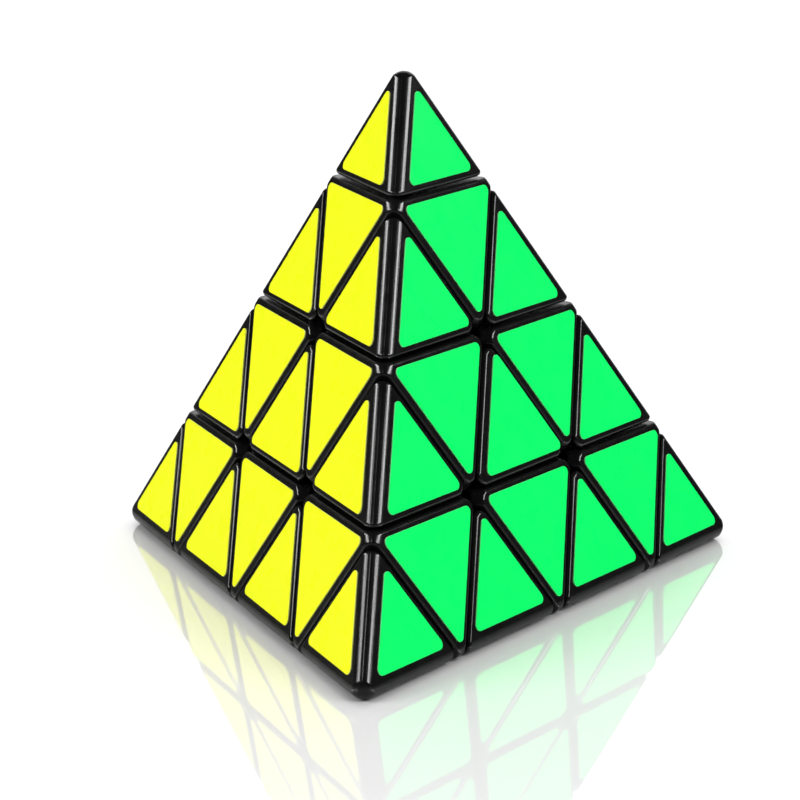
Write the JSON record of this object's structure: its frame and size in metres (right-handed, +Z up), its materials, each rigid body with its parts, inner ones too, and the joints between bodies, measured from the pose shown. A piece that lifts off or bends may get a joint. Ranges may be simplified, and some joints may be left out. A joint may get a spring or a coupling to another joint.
{
  "type": "pyramid twisty puzzle",
  "caption": "Tetrahedral twisty puzzle in black plastic with layered triangular pieces that turn about its vertices, each face covered in stickers of one colour.",
  "frame": {"origin": "centre of the face that the puzzle rests on", "axes": "+Z up from the resting face to the top vertex, -Y towards the front vertex, +X towards the right-hand vertex"},
  "size_m": [0.1144, 0.0994, 0.0934],
  "materials": {
    "black_plastic": "satin",
    "inner_plastic": "matte",
    "steel": "satin",
    "spring_steel": "satin",
    "yellow_sticker": "satin",
    "green_sticker": "satin",
    "red_sticker": "satin",
    "blue_sticker": "satin"
  },
  "bodies": {
    "centre": {"core": "inner_plastic", "middle_edge_top_front": "black_plastic", "middle_edge_top_right": "black_plastic", "middle_edge_top_left": "black_plastic", "middle_edge_right_left": "black_plastic", "middle_edge_front_left": "black_plastic", "middle_edge_front_right": "black_plastic", "face_centre_bottom": "black_plastic", "face_centre_back": "black_plastic", "face_centre_left": "black_plastic", "face_centre_right": "black_plastic", "axial_screw_top": "steel", "axial_screw_front": "steel", "axial_screw_right": "steel", "axial_screw_left": "steel"},
    "top_corner": {"axial_top": "black_plastic", "wing_top_front": "black_plastic", "wing_top_right": "black_plastic", "wing_top_left": "black_plastic", "dome_top": "inner_plastic", "axial_spring_top": "spring_steel", "axial_plug_top": "inner_plastic", "tip_screw_top": "steel", "tip_spring_top": "spring_steel"},
    "top_tip": {"tip_top": "black_plastic", "tip_base_top": "inner_plastic"},
    "front_corner": {"axial_front": "black_plastic", "wing_front_top": "black_plastic", "wing_front_right": "black_plastic", "wing_front_left": "black_plastic", "dome_front": "inner_plastic", "axial_spring_front": "spring_steel", "axial_plug_front": "inner_plastic", "tip_screw_front": "steel", "tip_spring_front": "spring_steel"},
    "front_tip": {"tip_front": "black_plastic", "tip_base_front": "inner_plastic"},
    "right_corner": {"axial_right": "black_plastic", "wing_right_top": "black_plastic", "wing_right_front": "black_plastic", "wing_right_left": "black_plastic", "dome_right": "inner_plastic", "axial_spring_right": "spring_steel", "axial_plug_right": "inner_plastic", "tip_screw_right": "steel", "tip_spring_right": "spring_steel"},
    "right_tip": {"tip_right": "black_plastic", "tip_base_right": "inner_plastic"},
    "left_corner": {"axial_left": "black_plastic", "wing_left_top": "black_plastic", "wing_left_front": "black_plastic", "wing_left_right": "black_plastic", "dome_left": "inner_plastic", "axial_spring_left": "spring_steel", "axial_plug_left": "inner_plastic", "tip_screw_left": "steel", "tip_spring_left": "spring_steel"},
    "left_tip": {"tip_left": "black_plastic", "tip_base_left": "inner_plastic"}
  },
  "joints": [
    {"name": "top_corner_turn", "type": "hinge", "parent": "centre", "child": "top_corner", "pos_m": [0, 0, 0.02449], "axis": [0, 0, 1], "continuous": true},
    {"name": "front_corner_turn", "type": "hinge", "parent": "centre", "child": "front_corner", "pos_m": [0, 0, 0.02449], "axis": [0, -0.9428, -0.3333], "continuous": true},
    {"name": "right_corner_turn", "type": "hinge", "parent": "centre", "child": "right_corner", "pos_m": [0, 0, 0.02449], "axis": [0.8165, 0.4714, -0.3333], "continuous": true},
    {"name": "left_corner_turn", "type": "hinge", "parent": "centre", "child": "left_corner", "pos_m": [0, 0, 0.02449], "axis": [-0.8165, 0.4714, -0.3333], "continuous": true},
    {"name": "top_tip_turn", "type": "hinge", "parent": "top_corner", "child": "top_tip", "pos_m": [0, 0, 0.02449], "axis": [0, 0, 1], "continuous": true},
    {"name": "front_tip_turn", "type": "hinge", "parent": "front_corner", "child": "front_tip", "pos_m": [0, 0, 0.02449], "axis": [0, -0.9428, -0.3333], "continuous": true},
    {"name": "right_tip_turn", "type": "hinge", "parent": "right_corner", "child": "right_tip", "pos_m": [0, 0, 0.02449], "axis": [0.8165, 0.4714, -0.3333], "continuous": true},
    {"name": "left_tip_turn", "type": "hinge", "parent": "left_corner", "child": "left_tip", "pos_m": [0, 0, 0.02449], "axis": [-0.8165, 0.4714, -0.3333], "continuous": true}
  ]
}
